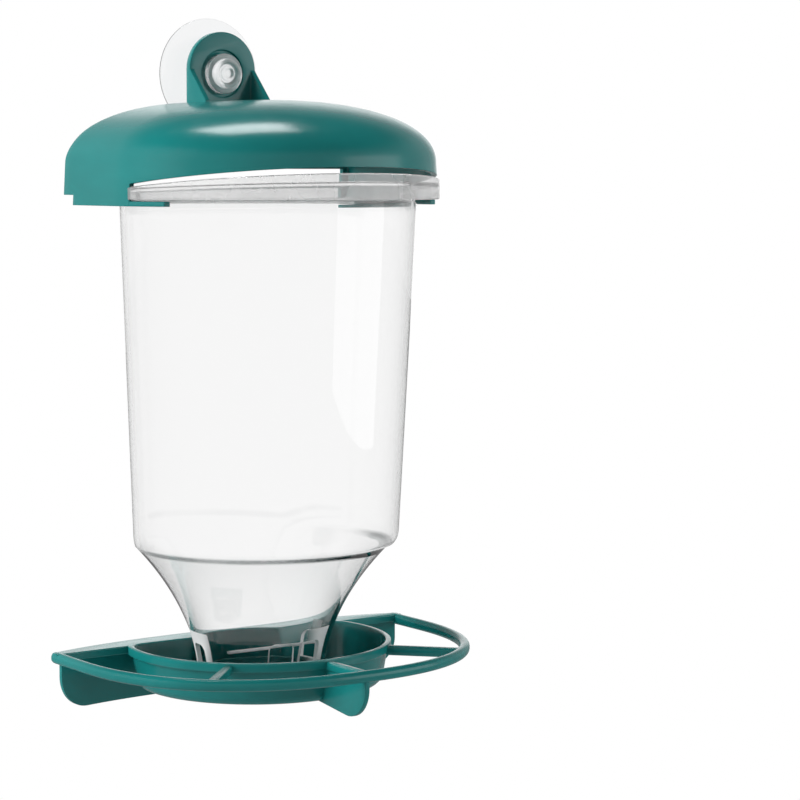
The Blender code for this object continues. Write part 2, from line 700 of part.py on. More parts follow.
def bowl_body(name, inset, high, low):
    """The bowl's outer or inner form, between two heights."""
    steps = 4
    levels = [high]
    fillet_top = TRAY_Z - BOWL_DEPTH + BOWL_FILLET
    for i in range(steps + 1):
        z = mix(fillet_top, BOWL_BOTTOM_Z, math.sin(math.pi / 2 * i / steps))
        levels.append(max(z, BOWL_BOTTOM_Z))
    sections = [(z + low - BOWL_BOTTOM_Z if z <= fillet_top else z, bowl_section(inset, min(z, TRAY_Z)))
                for z in levels]
    return hide_cutter(loft(name, sections, CUTTERS))


def spoke_body(name, angle):
    """A straight spoke from the bowl's rim to the perch ring."""
    half = SPOKE_WIDTH / 2
    start = BOWL_RADIUS - BOWL_WALL / 2
    direction = Vector((math.sin(angle), math.cos(angle)))
    across = Vector((math.cos(angle), -math.sin(angle)))
    end = ring_distance(direction) - RING_WIDTH / 2
    centre = Vector((0.0, BOWL_CENTRE))
    outline = []
    for along, side in ((start, -half), (end, -half), (end, half), (start, half)):
        outline.append(tuple(centre + direction * along + across * side))
    high = TRAY_Z - CLEARANCE
    return plan_body(name, outline, high - SPOKE_HEIGHT, high, edge=SPOKE_ROUND)


def ring_distance(direction):
    """Distance from the bowl's centre to the perch ring's outer edge, along a direction."""
    low, high = 0.0, RING_FRONT_DEPTH
    reach = RING_FRONT_DEPTH - RING_BEND_DEPTH
    for _ in range(40):
        middle = (low + high) / 2
        x = abs(direction.x) * middle
        ahead = max(0.0, BOWL_CENTRE + direction.y * middle - RING_BEND_DEPTH)
        inside = (x / TRAY_HALF_WIDTH) ** RING_POWER + (ahead / reach) ** RING_POWER < 1
        low, high = (middle, high) if inside else (low, middle)
    return low


def make_tray():
    """One moulding: bowl and neck pocket, back bar, fin, ring, spokes, keel and the neck's socket."""
    ring_low = TRAY_Z - RING_HEIGHT
    band = ring_outline(0.0) + ring_outline(RING_WIDTH)[::-1]
    tray = flat_body("tray", [band], PLAN, ring_low, TRAY_Z, collection=PARTS, edge=RING_ROUND)
    bar = curved_back(TRAY_HALF_WIDTH - CLEARANCE, 0.0)
    bar += [(TRAY_HALF_WIDTH - CLEARANCE, BAR_FRONT_DEPTH), (-TRAY_HALF_WIDTH + CLEARANCE, BAR_FRONT_DEPTH)]
    bar_low = TRAY_Z - CLEARANCE / 2 - BAR_THICKNESS
    combine(tray, plan_body("back_bar", bar, bar_low, TRAY_Z - CLEARANCE / 2), "UNION")

    fin = fin_body()
    combine(tray, fin, "UNION")
    combine(tray, bowl_body("bowl_outside", BOWL_LIP_PROUD, TRAY_Z - CLEARANCE, BOWL_BOTTOM_Z), "UNION")
    lip_low = TRAY_Z - BOWL_LIP_HEIGHT
    lip = [(z, bowl_section(0.0, min(z, TRAY_Z))) for z in (TRAY_Z + CLEARANCE, lip_low)]
    combine(tray, hide_cutter(loft("bowl_lip", lip, CUTTERS)), "UNION")
    pocket_radius = funnel_radius_at(TRAY_Z) + 2 * CLEARANCE
    pocket = cylinder("pocket_outside", pocket_radius + BOWL_WALL, BOWL_BOTTOM_Z + CLEARANCE,
                      TRAY_Z - CLEARANCE, NECK_CENTRE)
    keep = plan_body("pocket_limit", pocket_limit(), BOWL_BOTTOM_Z - OVERRUN, TRAY_Z + OVERRUN)
    combine(pocket, keep, "INTERSECT")
    combine(tray, pocket, "UNION")
    for name, angle in (("left_spoke", -SPOKE_ANGLE), ("front_spoke", 0.0), ("right_spoke", SPOKE_ANGLE)):
        combine(tray, spoke_body(name, angle), "UNION")
    combine(tray, keel_body(), "UNION")

    combine(tray, bowl_body("bowl_inside", BOWL_WALL, TRAY_Z + OVERRUN, FLOOR_Z), "DIFFERENCE")
    inside = cylinder("pocket_inside", pocket_radius, FLOOR_Z, TRAY_Z + OVERRUN, NECK_CENTRE)
    combine(tray, inside, "DIFFERENCE")
    combine(tray, socket_body(), "UNION")
    return tray


def funnel_radius_at(z):
    """Outer radius of the funnel at a height."""
    share = (CREASE_Z - z) / FUNNEL_HEIGHT
    return mix(NECK_RADIUS, FUNNEL_RADIUS, (1 - share) ** 2)


def pocket_limit():
    """The pocket's wall stays in front of the fin's back face."""
    width = BOWL_RADIUS
    edge = [(x, depth) for x, depth in curved_back(width, FIN_INSET + CLEARANCE)]
    return edge + [(width, NECK_CENTRE), (-width, NECK_CENTRE)]


def fin_body():
    """A wall under the bar, bowed as its back edge, with round lower corners."""
    back = curved_back(FIN_HALF_WIDTH, FIN_INSET)
    front = curved_back(FIN_HALF_WIDTH, FIN_INSET + FIN_THICKNESS)
    high = TRAY_Z - BAR_THICKNESS / 2
    wall = plan_body("fin", back + front[::-1], FIN_Z - OVERRUN, high)
    half = FIN_HALF_WIDTH - CLEARANCE
    inner = half - FIN_CORNER
    low = FIN_Z + FIN_CORNER
    right = math.pi / 2
    outline = [(-half, high + OVERRUN)] + arc((-inner, low), FIN_CORNER, -2 * right, -right)
    outline += arc((inner, low), FIN_CORNER, -right, 0.0) + [(half, high + OVERRUN)]
    shape = front_body("fin_shape", outline, 0.0, BAR_FRONT_DEPTH + OVERRUN)
    return combine(wall, shape, "INTERSECT")


def keel_body():
    """A plate under the front spoke, from the bowl to the ring, with a round front corner."""
    end = RING_FRONT_DEPTH - KEEL_MARGIN
    low = TRAY_Z - KEEL_HEIGHT
    high = TRAY_Z - SPOKE_HEIGHT / 2
    start = KEEL_START_DEPTH
    outline = [(start, high), (start, BOWL_BOTTOM_Z + BOWL_WALL / 2)]
    outline += arc((end - KEEL_CORNER, low + KEEL_CORNER), KEEL_CORNER, -KEEL_CORNER_TURN, 0.0)
    outline.append((end, high))
    half = KEEL_THICKNESS / 2
    return side_body("keel", outline, -half, half)


def socket_body():
    """A low ring on the bowl's floor that holds the foot of the neck."""
    inner = NECK_RADIUS + CLEARANCE
    steps = TURN_STEPS
    full = 2 * math.pi

    def circle(radius):
        return [(x, y) for x, y in arc((0.0, NECK_CENTRE), radius, 0.0, full, steps)[:-1]]

    low = FLOOR_Z - BOWL_WALL / 2
    high = FLOOR_Z + SOCKET_HEIGHT
    return plan_body("neck_socket", circle(inner + SOCKET_WALL), low, high, holes=[circle(inner)])


green = (0.016, 0.155, 0.150)
clear = (0.93, 0.94, 0.95)
finish(make_suction_cup(), plastic("cup_clear", clear, 0.15, 0.35))
finish(make_lid(), plastic("lid_green", green, 0.30))
finish(make_hopper(), plastic("hopper_clear", clear, 0.05, 0.25))
finish(make_tray(), plastic("tray_green", green, 0.35))
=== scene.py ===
"""Window bird feeder: suction cup, domed lid, clear seed hopper and perch tray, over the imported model.

Lengths are metres and +Z is up. The pane is the plane y = 0, and a depth is a distance in front of it.
"""
import math

import bmesh
import bpy
import numpy as np
from mathutils import Matrix, Vector


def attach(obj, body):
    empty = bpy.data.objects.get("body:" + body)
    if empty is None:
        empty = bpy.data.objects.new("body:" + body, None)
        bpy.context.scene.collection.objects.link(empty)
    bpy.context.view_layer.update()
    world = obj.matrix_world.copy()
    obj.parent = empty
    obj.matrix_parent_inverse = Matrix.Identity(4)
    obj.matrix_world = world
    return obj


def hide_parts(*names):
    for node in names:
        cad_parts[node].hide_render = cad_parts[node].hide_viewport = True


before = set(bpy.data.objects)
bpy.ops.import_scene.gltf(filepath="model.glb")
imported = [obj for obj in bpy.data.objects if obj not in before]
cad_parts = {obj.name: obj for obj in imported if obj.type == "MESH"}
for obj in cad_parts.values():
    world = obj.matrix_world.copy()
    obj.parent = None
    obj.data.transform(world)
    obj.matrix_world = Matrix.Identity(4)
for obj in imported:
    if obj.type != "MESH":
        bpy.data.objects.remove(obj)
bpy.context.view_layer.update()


# Suction cup. One turned moulding in clear soft plastic: a thin dished rim against the pane, a hub, a neck
# that passes through the bracket's hole, and a stepped round knob that snaps over the bracket's front.

class Shade:
    """One value in a shader. Sums, differences and products of values add Math nodes."""

    def __init__(self, tree, socket=None):
        self.tree = tree
        self.socket = socket

    def node(self, kind, settings, sockets, output=0):
        """Add a node: its settings first, then the values or links of its sockets."""
        made = self.tree.nodes.new("ShaderNode" + kind)
        for name, setting in settings.items():
            setattr(made, name, setting)
        for name, value in sockets.items():
            if isinstance(value, Shade):
                self.tree.links.new(value.socket, made.inputs[name])
            else:
                made.inputs[name].default_value = value
        return Shade(self.tree, made.outputs[output])

    def maths(self, operation, other=0.0):
        """A Math node that starts from this value."""
        return self.node("Math", {"operation": operation}, {0: self, 1: other})

    def __add__(self, other):
        return self.maths("ADD", other)

    def __sub__(self, other):
        return self.maths("SUBTRACT", other)

    def __mul__(self, other):
        return self.maths("MULTIPLY", other)

    def __rsub__(self, other):
        return self.node("Math", {"operation": "SUBTRACT"}, {0: other, 1: self})

    __radd__ = __add__
    __rmul__ = __mul__

    def part(self, axis):
        """One coordinate of a vector: 0 across, 1 towards the pane, 2 up."""
        return self.node("SeparateXYZ", {}, {0: self}, axis)

    def place(self, stretch=(1.0, 1.0, 1.0)):
        """Where a point of the surface lies on the piece, stretched along the axes."""
        where = self.node("TexCoord", {}, {}, "Object")
        return self.node("VectorMath", {"operation": "MULTIPLY"}, {0: where, 1: stretch})

    def noise(self, scale, detail=2.0, place=None):
        """Cloudy variation over the piece, from 0 to 1, with so many clouds to the metre."""
        sockets = {"Vector": place or self.place(), "Scale": scale, "Detail": detail}
        return self.node("TexNoise", {}, sockets)

    def ramp(self, low, high):
        """0 below the low value, 1 above the high one, and smooth between."""
        sockets = {"Value": self, "From Min": low, "From Max": high, "To Min": 0.0, "To Max": 1.0}
        return self.node("MapRange", {"interpolation_type": "SMOOTHSTEP"}, sockets)

    def tint(self, first, second):
        """A colour between two others."""
        return self.node("Mix", {"data_type": "RGBA"}, {0: self, 6: (*first, 1.0), 7: (*second, 1.0)}, 2)

    def relief(self, height):
        """A surface normal from this value, which raises the surface by up to a height."""
        return self.node("Bump", {}, {"Height": self, "Strength": 1.0, "Distance": height})


def new_finish(name, constants):
    """A material with its fixed values set on the shader's own sockets."""
    material = bpy.data.materials.new(name)
    material.use_nodes = True
    shader = material.node_tree.nodes["Principled BSDF"]
    for socket, value in constants.items():
        shader.inputs[socket].default_value = value
    return material, Shade(material.node_tree), shader


def feed(material, shader, varying):
    """Link the values that change over the surface to the shader."""
    for socket, value in varying.items():
        material.node_tree.links.new(value.socket, shader.inputs[socket])


def mix_shaders(material, first, second, share):
    """Show a material's second shader in place of its first, by a share that changes from place to place."""
    tree = material.node_tree
    mix = tree.nodes.new("ShaderNodeMixShader")
    tree.links.new(share.socket, mix.inputs[0])
    tree.links.new(first.outputs[0], mix.inputs[1])
    tree.links.new(second.outputs[0], mix.inputs[2])
    tree.links.new(mix.outputs[0], tree.nodes["Material Output"].inputs[0])


def cloud(material, shader, share):
    """Mix a milky plastic into a clear one by a share that changes over the surface."""
    milky = material.node_tree.nodes.new("ShaderNodeBsdfPrincipled")
    milky.inputs["Base Color"].default_value = (0.98, 0.98, 0.98, 1.0)
    milky.inputs["Roughness"].default_value = 0.6
    milky.inputs["IOR"].default_value = 1.3
    milky.inputs["Transmission Weight"].default_value = 0.35
    mix_shaders(material, shader, milky, share)


def solid(name, points, faces):
    """An object from points and faces, in the model's own frame."""
    mesh = bpy.data.meshes.new(name)
    mesh.from_pydata([tuple(point) for point in points], [], faces)
    mesh.validate()
    made = bpy.data.objects.new(name, mesh)
    bpy.context.scene.collection.objects.link(made)
    return made


def outward(piece):
    """Weld doubled points and point every face out of the plastic."""
    bm = bmesh.new()
    bm.from_mesh(piece.data)
    bmesh.ops.remove_doubles(bm, verts=bm.verts, dist=2e-6)
    bmesh.ops.dissolve_degenerate(bm, edges=bm.edges, dist=1e-6)
    bmesh.ops.recalc_face_normals(bm, faces=bm.faces)
    bm.to_mesh(piece.data)
    bm.free()
    return piece


def skin(name, rows, ends="open"):
    """A surface through closed rows of points. Its ends are open, capped, or joined into a loop."""
    count = len(rows[0])
    points = np.concatenate(rows)
    pairs = list(zip(range(len(rows)), range(1, len(rows))))
    if ends == "joined":
        pairs.append((len(rows) - 1, 0))
    faces = []
    for upper, lower in pairs:
        for i in range(count):
            j = (i + 1) % count
            faces.append((upper * count + i, lower * count + i, lower * count + j, upper * count + j))
    if ends == "capped":
        faces.append(tuple(range(count)))
        faces.append(tuple(len(points) - 1 - i for i in range(count)))
    return outward(solid(name, points, faces))


def smooth(piece, crease=32.0):
    """Shade the round faces smooth and keep edges sharper than the crease angle."""
    piece.data.shade_smooth()
    piece.data.set_sharp_from_angle(angle=math.radians(crease))
    return piece


def rounded_path(corners, radius, steps=4):
    """A profile with each corner rounded by about one radius, less where its sides are short."""
    path = [Vector(corners[0])]
    for before, corner, after in zip(corners, corners[1:], corners[2:]):
        corner = Vector(corner)
        back, ahead = Vector(before) - corner, Vector(after) - corner
        reach = min(radius, back.length * 0.45, ahead.length * 0.45)
        start, end = corner + back.normalized() * reach, corner + ahead.normalized() * reach
        for i in range(steps + 1):
            share = i / steps
            path.append(start * (1 - share) ** 2 + corner * 2 * share * (1 - share) + end * share ** 2)
    path.append(Vector(corners[-1]))
    return path


CUP_RADIUS = 0.020
CUP_NECK = 0.0036
CUP_EDGE_ROUND = 0.0006
HUB_FRONT = 0.0076
KNOB_RADIUS = 0.0071
KNOB_BACK = 0.0099
BOSS_RADIUS = 0.0052
BOSS_FRONT = 0.0146
BOSS_FACE = 0.0139
RING_FACE = 0.0143
DISH_RADIUS = 0.0140
# Each point is (radius, depth): the knob's face with a raised ring and a raised edge, its step and its back,
# the neck and the hub, then the rim's front, edge and dished back.
cup_profile = [
    (0.0, BOSS_FACE), (0.0013, BOSS_FACE), (0.0019, RING_FACE), (0.0026, RING_FACE), (0.0029, BOSS_FACE),
    (0.0035, BOSS_FACE), (0.0039, BOSS_FRONT), (BOSS_RADIUS, BOSS_FRONT),
    (BOSS_RADIUS, 0.0126), (KNOB_RADIUS, 0.0125), (KNOB_RADIUS, KNOB_BACK), (CUP_NECK, KNOB_BACK),
    (CUP_NECK, HUB_FRONT), (0.0056, HUB_FRONT), (0.0058, 0.0048), (0.0082, 0.0026),
    (DISH_RADIUS, 0.00165), (CUP_RADIUS, 0.0007), (CUP_RADIUS, 0.0), (0.0193, 0.0),
    (DISH_RADIUS, 0.0006), (0.0082, 0.0010), (0.0, 0.0010),
]
turns = np.linspace(0.0, 2 * math.pi, 120, endpoint=False)
rows = []
for radius, depth in rounded_path(cup_profile, CUP_EDGE_ROUND):
    rows.append(np.stack([radius * np.cos(turns), 0 * turns - depth, radius * np.sin(turns)], 1))
cup = smooth(skin("suction_cup_clear", rows), 50.0)

soft_clear, shade, shader = new_finish("clear_soft_plastic", {
    "Base Color": (0.93, 0.935, 0.94, 1.0), "Transmission Weight": 1.0, "IOR": 1.48})
haze = shade.noise(260.0)
feed(soft_clear, shader, {"Roughness": 0.05 + 0.09 * haze, "Normal": shade.noise(420.0).relief(0.00003)})
on_boss = 1.0 - shade.place().part(1).ramp(-0.0126, -0.0118)
cloud(soft_clear, shader, on_boss * (0.3 + 0.4 * haze))
cup.data.materials.append(soft_clear)
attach(cup, "cup")
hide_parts("suction_cup")


# Lid. One moulding in dark teal plastic with a glossy top: a D-shaped dome over an open back, skirts at the
# sides with a rail under each for the hopper, and the bracket that the cup holds.

# HAIR is a margin for comparing lengths. A joined body stays SINK inside its neighbour's faces, so that no
# two faces coincide, and a cutting body runs OVERRUN past what it cuts.
HAIR = 1e-6
SINK = 0.0001
OVERRUN = 0.001

ROOF = -0.0100
DOME_RISE = 0.0222
DOME_POWER = 2.25
DOME_STEPS = 40
SPRING = ROOF - DOME_RISE
LID_RADIUS = 0.060
SPRING_RADIUS = 0.0592
LID_CENTRE = 0.040
LID_BACK = 0.0025
LID_RIM = -0.0463
LID_WALL = 0.0020
SKIRT_END = 0.0490
SKIRT_ROWS = (6, 3, 3)
NOTCH_END = 0.0099
NOTCH_TOP = -0.0428
LIP_MIDDLE = -0.0398
LIP_SLOPE = 0.11
BACK_ROUND = 0.0030
SKIRT_ROUND = 0.0006
ROUND_FADE = 0.0090


def lip_height(depth):
    """Height of the lid's sloping front lip."""
    return LIP_MIDDLE + LIP_SLOPE * (depth - LID_CENTRE)


def flared(height):
    """Radius of the skirt, which opens a little towards its rim."""
    return SPRING_RADIUS + (LID_RADIUS - SPRING_RADIUS) * (SPRING - height) / (SPRING - LID_RIM)


def lid_columns(wall):
    """Plan places from the lid's back left corner round its front to the back right one.

    Each is (direction across, direction ahead, depth of its centre, turn round the back edge).
    """
    half = [(-1.0, 0.0, LID_BACK + wall, turn) for turn in np.linspace(0.0, math.pi / 2, 5)]
    by_notch = np.linspace(LID_BACK + BACK_ROUND, NOTCH_END, 3)[1:]
    by_skirt = np.linspace(NOTCH_END, LID_CENTRE, 13)[1:-1]
    half += [(-1.0, 0.0, depth, None) for depth in (*by_notch, *by_skirt)]
    skirt_turn = math.asin((SKIRT_END - LID_CENTRE) / LID_RADIUS)
    to_lip = np.linspace(0.0, skirt_turn, 4)
    by_lip = np.linspace(skirt_turn, math.pi / 2, 56)[1:-1]
    half += [(-math.cos(turn), math.sin(turn), LID_CENTRE, None) for turn in (*to_lip, *by_lip)]
    front = (0.0, 1.0, LID_CENTRE, None)
    return half + [front] + [(-across, *rest) for across, *rest in reversed(half)]


def lid_line(column, wall, end_depth):
    """Points from the crown down to the lip, or on a side down to the notch and the rim."""
    across, ahead, depth, round_turn = column
    section = []
    for turn in np.linspace(0.0, math.pi / 2, DOME_STEPS):
        rise = (DOME_RISE - wall) * max(0.0, math.cos(turn)) ** (2 / DOME_POWER)
        section.append(((SPRING_RADIUS - wall) * math.sin(turn) ** (2 / DOME_POWER), SPRING + rise))
    stops = [SPRING, lip_height(end_depth)]
    if end_depth < SKIRT_END + HAIR:
        stops = [SPRING, lip_height(SKIRT_END), NOTCH_TOP, LID_RIM]
    for high, low, steps in zip(stops, stops[1:], SKIRT_ROWS):
        section += [(flared(height) - wall, height) for height in np.linspace(high, low, steps + 1)[1:]]
    if round_turn is None:
        return [(across * radius, -(depth + ahead * radius), height) for radius, height in section]
    line = []
    for radius, height in section:
        fade = min(1.0, max(0.0, (height - SPRING) / ROUND_FADE))
        bend = max(SKIRT_ROUND, SKIRT_ROUND + (BACK_ROUND - SKIRT_ROUND) * fade ** 2 * (3 - 2 * fade) - wall)
        inset = bend * (1 - math.sin(round_turn))
        sunk = inset * max(0.0, height - SPRING) / DOME_RISE
        ahead_of_back = depth + bend * (1 - math.cos(round_turn))
        line.append((across * radius * (1 - inset / LID_RADIUS), -ahead_of_back, height - sunk))
    return line


depths = [depth + ahead * LID_RADIUS for across, ahead, depth, turn in lid_columns(0.0)]
outside = [lid_line(column, 0.0, depth) for column, depth in zip(lid_columns(0.0), depths)]
inside = [lid_line(column, LID_WALL, depth) for column, depth in zip(lid_columns(LID_WALL), depths)]
firsts = np.cumsum([0] + [len(line) for line in outside])
rows_to_notch = DOME_STEPS + SKIRT_ROWS[0] + SKIRT_ROWS[1]
faces = []
for i in range(len(outside) - 1):
    shared = min(len(outside[i]), len(outside[i + 1]))
    if max(depths[i], depths[i + 1]) < NOTCH_END + HAIR:
        shared = rows_to_notch
    for k in range(shared - 1):
        here, there = firsts[i] + k, firsts[i + 1] + k
        faces.append((here, here + 1, there + 1, there))
# The flat back joins the first column to the last.
last = firsts[-2]
faces += [(k + 1, k, last + k, last + k + 1) for k in range(rows_to_notch - 1)]
# The inside is the same faces turned over, and a rim joins the free edges of the two.
edges = [(face[k], face[k - 3]) for face in faces for k in range(4)]
free_edges = set(edges) - {(b, a) for a, b in edges}
crown = set(firsts[:-1])
offset = firsts[-1]
rim = [(a, b, b + offset, a + offset) for a, b in free_edges if not (a in crown and b in crown)]
faces += [tuple(k + offset for k in reversed(face)) for face in faces] + rim
lid = outward(solid("lid_dome", [point for line in outside + inside for point in line], faces))


def press(piece):
    """Apply a piece's modifiers to its mesh."""
    graph = bpy.context.evaluated_depsgraph_get()
    mesh = bpy.data.meshes.new_from_object(piece.evaluated_get(graph))
    piece.modifiers.clear()
    old, piece.data = piece.data, mesh
    bpy.data.meshes.remove(old)
    return piece


def soften(piece, width):
    """Round a piece's sharp edges by a small radius."""
    edge = piece.modifiers.new("edge", "BEVEL")
    edge.width = width
    edge.segments = 3
    edge.limit_method = "ANGLE"
    edge.angle_limit = math.radians(42.0)
    return press(piece)


def fuse(piece, other, operation="UNION"):
    """Join a body to a piece, or cut the piece with it, and drop the body."""
    modifier = piece.modifiers.new("fuse", "BOOLEAN")
    modifier.operation = operation
    modifier.solver = "EXACT"
    modifier.object = other
    press(piece)
    bpy.data.objects.remove(other)
    return piece


def slab(name, outline, plane, low, high):
    """A flat outline in plan (x, depth), front (x, z) or side (depth, z), from low to high across it."""
    lay = {
        "plan": lambda a, b, level: (a, -b, level),
        "front": lambda a, b, level: (a, -level, b),
        "side": lambda a, b, level: (level, -a, b),
    }[plane]
    rows = [np.array([lay(a, b, level) for a, b in outline]) for level in (low, high)]
    return skin(name, rows, "capped")


def rectangle(left, right, low, high):
    """Corners of a rectangle."""
    return [(left, low), (right, low), (right, high), (left, high)]


def arc_points(centre, radius, start, end, steps):
    """Points along an arc, with its angles in degrees."""
    turns = np.radians(np.linspace(start, end, steps + 1))
    return [(centre[0] + radius * math.cos(t), centre[1] + radius * math.sin(t)) for t in turns]


def peg(name, radius, near, far):
    """A round body along the cup's axis, between two depths."""
    return slab(name, arc_points((0.0, 0.0), radius, 0.0, 360.0, 72)[:-1], "front", near, far)


soften(lid, 0.0004)

# The bracket: a round-topped plate with a gusset at each side, a hole for the cup's neck and a recess for
# the knob. Its foot sinks into the dome.
PLATE_HALF = 0.0135
PLATE_FRONT = 0.0105
PLATE_BACK = 0.0079
PLATE_RISE = 0.0013
HOLE_RADIUS = 0.0039
RECESS_RADIUS = 0.0084
RECESS_DEPTH = 0.0009
FOOT = ROOF - 0.0012
GUSSET_BACK = PLATE_BACK + 0.0008
GUSSET_TOE = 0.0214
GUSSET_WALL = 0.0018
GUSSET_STEP = ROOF + 0.0003
outline = [(-PLATE_HALF, FOOT), (PLATE_HALF, FOOT)]
outline += arc_points((0.0, PLATE_RISE), PLATE_HALF, 0.0, 180.0, 60)
plate = slab("bracket_plate", outline, "front", PLATE_BACK, PLATE_FRONT)
for side in (-1, 1):
    gusset = [(GUSSET_BACK, FOOT), (GUSSET_TOE, FOOT), (GUSSET_TOE, GUSSET_STEP)]
    gusset += [(PLATE_FRONT, PLATE_RISE), (GUSSET_BACK, PLATE_RISE)]
    left, right = sorted((side * PLATE_HALF, side * (PLATE_HALF - GUSSET_WALL)))
    fuse(plate, slab("gusset", gusset, "side", left, right))
fuse(plate, peg("hole", HOLE_RADIUS, PLATE_BACK - OVERRUN, PLATE_FRONT + OVERRUN), "DIFFERENCE")
fuse(plate, peg("recess", RECESS_RADIUS, PLATE_FRONT - RECESS_DEPTH, GUSSET_TOE), "DIFFERENCE")
soften(plate, 0.0003)
fuse(lid, plate)

# The rails under the skirts, which the hopper's collar runs on.
RAIL_TOP = -0.0446
RAIL_INSIDE = 0.0523
RAIL_BACK = 0.0040
RAIL_HEEL = 0.0102
RAIL_END = 0.0647
rail_radius = LID_RADIUS - SINK
in_skirt = LID_RADIUS - LID_WALL / 2
for side in (-1, 1):
    tip = math.degrees(math.asin((RAIL_END - LID_CENTRE) / rail_radius))
    start = math.degrees(math.asin((SKIRT_END - LID_CENTRE) / LID_RADIUS))
    outline = arc_points((0.0, LID_CENTRE), rail_radius, start, tip, 12)
    outline += [(RAIL_INSIDE, RAIL_END), (RAIL_INSIDE, RAIL_BACK), (in_skirt, RAIL_HEEL)]
    outline += [(in_skirt, SKIRT_END - 0.0005)]
    rail = slab("rail", [(side * x, depth) for x, depth in outline], "plan", LID_RIM, RAIL_TOP)
    fuse(lid, soften(rail, 0.00025))

# The open back, which lets the light in under the dome.
WINDOW_HALF = LID_RADIUS - LID_WALL - BACK_ROUND
WINDOW_DEPTHS = (0.0005, 0.0065)
WINDOW_TOP = SPRING - 0.0016
outline = rectangle(-WINDOW_HALF, WINDOW_HALF, *WINDOW_DEPTHS)
fuse(lid, slab("back_window", outline, "plan", LID_RIM - 2 * OVERRUN, WINDOW_TOP), "DIFFERENCE")
smooth(lid)
lid.name = "lid_with_bracket"

TEAL = (0.006, 0.158, 0.153)


def teal_finish(name, gloss, flow):
    """Dark teal plastic: faint flow marks in the colour, uneven gloss and a fine moulded texture."""
    material, shade, shader = new_finish(name, {"IOR": 1.5, "Specular IOR Level": 0.5})
    clouds = shade.noise(38.0, 3.0, shade.place(flow))
    grain = shade.noise(2600.0)
    wear = shade.noise(190.0, 4.0).ramp(0.45, 0.8)
    darker, lighter = [tuple(share * c for c in TEAL) for share in (0.93, 1.09)]
    feed(material, shader, {
        "Base Color": clouds.ramp(0.25, 0.75).tint(darker, lighter),
        "Roughness": gloss + 0.05 * wear + 0.03 * grain,
        "Normal": (grain * 0.5 + clouds * 2.0).relief(0.00002),
    })
    return material


lid.data.materials.append(teal_finish("teal_gloss", 0.20, (1.0, 0.5, 1.6)))
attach(lid, "lid")
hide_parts("lid")


# Hopper. One clear rigid moulding: a collar that runs on the lid's rails, a D-shaped body that tapers down
# to a round shoulder, a funnel, and a neck whose four arched ports let the seed out into the bowl.

NECK_CENTRE = 0.0350
NECK_RADIUS = 0.0226
NECK_FOOT = -0.2135
CREASE = -0.1658
CREASE_RADIUS = 0.0455
BODY_FOOT = -0.1603
BODY_HEAD = -0.050
COLLAR_FOOT = -0.0443
COLLAR_RADIUS = 0.0605
COLLAR_SIDE = 0.0570
COLLAR_BACK = 0.0060
COLLAR_CORNER = 0.016
COLLAR_REAR = 0.022
TOP_MIDDLE, TOP_SLOPE = -0.0407, 0.092
SHELF_MIDDLE, SHELF_SLOPE = -0.0406, 0.045
SHELF_WALL = 0.0013
HOPPER_WALL = 0.0016
EDGE = 0.0003
# D shapes in plan: the front arc's radius and depth of centre, the depth where the straight sides end, the
# depth of the back, and the radius of the back corners.
BODY_TOP_D = (0.0517, 0.0415, 0.0345, 0.0095, 0.025)
BODY_FOOT_D = (0.0470, 0.0385, 0.0332, 0.0102, 0.023)
CREASE_D = (CREASE_RADIUS, NECK_CENTRE, NECK_CENTRE, 0.0102, 0.023)
# Fillets between the wall and the collar's shelf: (out from the wall, down from the shelf).
UNDER_FILLET = ((0.0, 0.0006), (0.0002, 0.0002), (0.0006, 0.0))
OVER_FILLET = ((0.0008, 0.0), (0.0002, 0.0003), (0.0, 0.0009))

# Bearings about the neck's axis, with a close pair at each side just behind the collar's step.
STEP_X, STEP_DEPTH = 0.0601, 0.0468
step_bearing = math.atan2(STEP_X, STEP_DEPTH - NECK_CENTRE)
pair = [step_bearing - 0.002, step_bearing + 0.002]
even = np.linspace(0.0, 2 * math.pi, 240, endpoint=False)
bearings = np.sort(np.concatenate([even, pair, [2 * math.pi - bearing for bearing in pair]]))


def d_outline(radius, centre, rear, back, corner):
    """A D in plan: an arc about centre, straight sides to rear, rounded back corners and a flat back."""
    back = max(back, rear - radius)
    corner = min(corner, radius)
    corner_depth = back + corner
    corner_x = math.sqrt(max(0.0, (radius - corner) ** 2 - (corner_depth - rear) ** 2))
    turn = math.degrees(math.atan2(corner_depth - rear, corner_x))
    half = arc_points((0.0, centre), radius, 90.0, 0.0, 80) + arc_points((0.0, rear), radius, 0.0, turn, 30)
    half += arc_points((corner_x, corner_depth), corner, turn, -90.0, 40)
    half += [(x, back) for x in np.linspace(corner_x, 0.0, 12)]
    return np.array(half + [(-x, depth) for x, depth in half[-2:0:-1]])


def about_neck(outline):
    """Distance of an outline from the neck's axis at each bearing, from the front round to the right."""
    across, ahead = outline[:, 0], outline[:, 1] - NECK_CENTRE
    turn = np.arctan2(across, ahead)
    order = turn.argsort()
    return np.interp(bearings, turn[order], np.hypot(across, ahead)[order], period=2 * math.pi)


def ring_row(reach, height):
    """Points at a distance from the neck's axis on each bearing. The height may follow the depth."""
    across, depth = reach * np.sin(bearings), NECK_CENTRE + reach * np.cos(bearings)
    level = height(depth) if callable(height) else height + 0 * depth
    return np.stack([across, -depth, level], 1)


def between(a, b, share):
    """A value between two others."""
    return a + (b - a) * share


